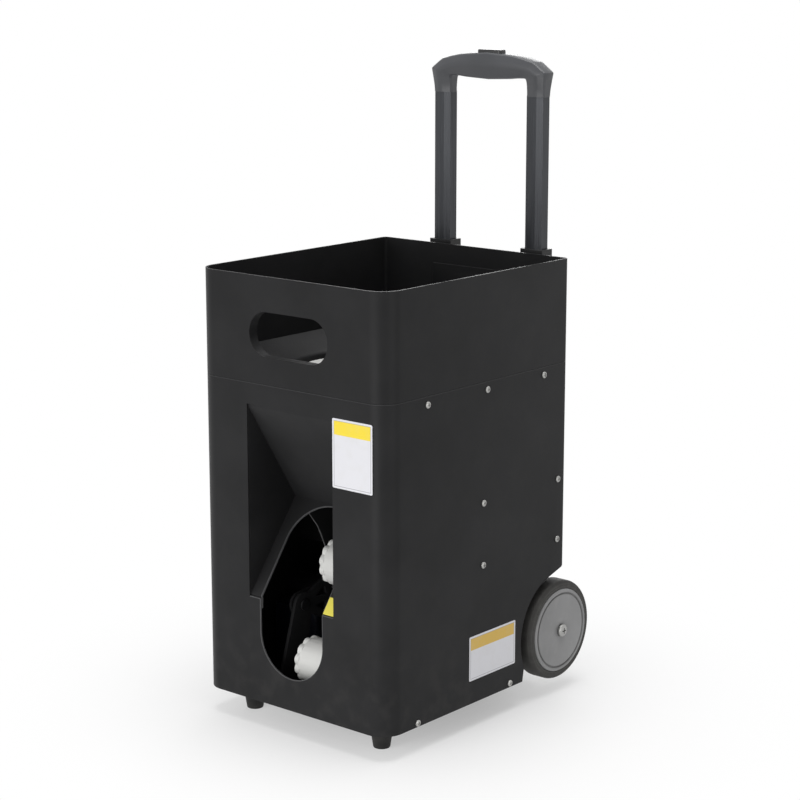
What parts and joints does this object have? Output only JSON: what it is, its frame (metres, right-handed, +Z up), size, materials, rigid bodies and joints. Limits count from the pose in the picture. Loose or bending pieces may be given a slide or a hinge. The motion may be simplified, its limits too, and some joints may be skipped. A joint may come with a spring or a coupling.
{
  "type": "padel ball machine",
  "caption": "Padel ball machine with open hopper, rotary ball feed, tilting two-wheel launcher behind a front chute opening, transport wheels, feet and telescopic trolley handle.",
  "frame": {"origin": "on the ground, under the middle of the overall box", "axes": "+Z up, the launch opening faces -Y, +X is the right-hand side seen from the front"},
  "size_m": [0.295, 0.3666, 0.739],
  "materials": {
    "case_black": "fine matte black powder coat",
    "plastic_black": "matte black moulding",
    "wheel_white": "off-white moulding",
    "steel": "plain steel",
    "zinc": "zinc plated",
    "motor": "dark plated can",
    "tube": "dark satin anodised",
    "grip": "fine-grained dark grey",
    "hub": "mid grey moulding",
    "tyre": "dark warm grey rubber",
    "foot": "black rubber",
    "board": "green circuit board",
    "battery": "dark blue case",
    "switch": "black moulding"
  },
  "bodies": {
    "case": {"housing_shell": "case_black", "launch_recess": "case_black", "hopper": "case_black", "hopper_floor": "plastic_black", "drop_guard": "case_black", "feed_gearmotor": "motor", "ball_chute": "plastic_black", "base_tray": "case_black", "rear_panel": "case_black", "wheel_well_left": "plastic_black", "wheel_well_right": "plastic_black", "foot_front_left": "foot", "foot_front_right": "foot", "foot_rear_left": "foot", "foot_rear_right": "foot", "axle": "steel", "axle_bracket_left": "steel", "axle_bracket_right": "steel", "axle_cap_left": "zinc", "axle_cap_right": "zinc", "launcher_frame": "case_black", "pivot_pin_left": "steel", "pivot_pin_right": "steel", "elevation_gearmotor": "motor", "battery": "battery", "battery_strap": "steel", "control_board": "board", "power_switch": "switch", "charge_socket": "switch", "handle_sleeve_left": "case_black", "handle_sleeve_right": "case_black", "sleeve_collar_left": "plastic_black", "sleeve_collar_right": "plastic_black", "handle_bracket_upper": "plastic_black", "handle_bracket_lower": "plastic_black"},
    "feed": {"feed_wheel": "wheel_white", "feed_cap": "plastic_black", "feed_shaft": "steel"},
    "launcher": {"launch_cradle": "case_black", "wheel_motor_upper": "motor", "wheel_motor_lower": "motor"},
    "upper_wheel": {"launch_wheel_upper": "wheel_white", "wheel_shaft_upper": "steel"},
    "lower_wheel": {"launch_wheel_lower": "wheel_white", "wheel_shaft_lower": "steel"},
    "pinion": {"elevation_pinion": "steel"},
    "left_wheel": {"hub_left": "hub", "tyre_left": "tyre"},
    "right_wheel": {"hub_right": "hub", "tyre_right": "tyre"},
    "handle": {"handle_tube_left": "tube", "handle_tube_right": "tube", "handle_grip": "grip"},
    "button": {"grip_button": "switch"},
    "rocker": {"power_rocker": "switch"},
    "speed_control": {"speed_knob": "switch"},
    "feed_control": {"feed_knob": "switch"},
    "angle_control": {"angle_knob": "switch"}
  },
  "joints": [
    {"name": "feed_turn", "type": "hinge", "parent": "case", "child": "feed", "pos_m": [0, -0.0233, 0.359], "axis": [0, 0, 1], "continuous": true},
    {"name": "launch_tilt", "type": "hinge", "parent": "case", "child": "launcher", "pos_m": [0, -0.1183, 0.1285], "axis": [-1, 0, 0], "range_deg": [-20, 16]},
    {"name": "upper_spin", "type": "hinge", "parent": "launcher", "child": "upper_wheel", "pos_m": [0, -0.0972, 0.1807], "axis": [-1, 0, 0], "continuous": true},
    {"name": "lower_spin", "type": "hinge", "parent": "launcher", "child": "lower_wheel", "pos_m": [0, -0.1394, 0.0763], "axis": [1, 0, 0], "continuous": true},
    {"name": "pinion_turn", "type": "hinge", "parent": "case", "child": "pinion", "pos_m": [0, -0.0613, 0.1285], "axis": [-1, 0, 0], "range_deg": [-90, 110]},
    {"name": "left_wheel_roll", "type": "hinge", "parent": "case", "child": "left_wheel", "pos_m": [-0.128, 0.1247, 0.0755], "axis": [1, 0, 0], "continuous": true},
    {"name": "right_wheel_roll", "type": "hinge", "parent": "case", "child": "right_wheel", "pos_m": [0.128, 0.1247, 0.0755], "axis": [1, 0, 0], "continuous": true},
    {"name": "handle_slide", "type": "slide", "parent": "case", "child": "handle", "axis": [0, 0, 1], "range_m": [-0.172, 0.15]},
    {"name": "button_press", "type": "slide", "parent": "handle", "child": "button", "axis": [0, 0, -1], "range_m": [0, 0.0025], "stiffness_N_per_m": 300, "springref_m": -0.001},
    {"name": "rocker_tilt", "type": "hinge", "parent": "case", "child": "rocker", "pos_m": [-0.022, 0.1304, 0.285], "axis": [1, 0, 0], "range_deg": [-8, 8]},
    {"name": "speed_turn", "type": "hinge", "parent": "case", "child": "speed_control", "pos_m": [-0.03, 0.1344, 0.335], "axis": [0, 1, 0], "range_deg": [-140, 140]},
    {"name": "feed_rate_turn", "type": "hinge", "parent": "case", "child": "feed_control", "pos_m": [0, 0.1344, 0.335], "axis": [0, 1, 0], "range_deg": [-140, 140]},
    {"name": "angle_turn", "type": "hinge", "parent": "case", "child": "angle_control", "pos_m": [0.03, 0.1344, 0.335], "axis": [0, 1, 0], "range_deg": [-140, 140]}
  ],
  "couplings": [
    {"joint": "pinion_turn", "follows": "launch_tilt", "ratio": -5.3333}
  ]
}
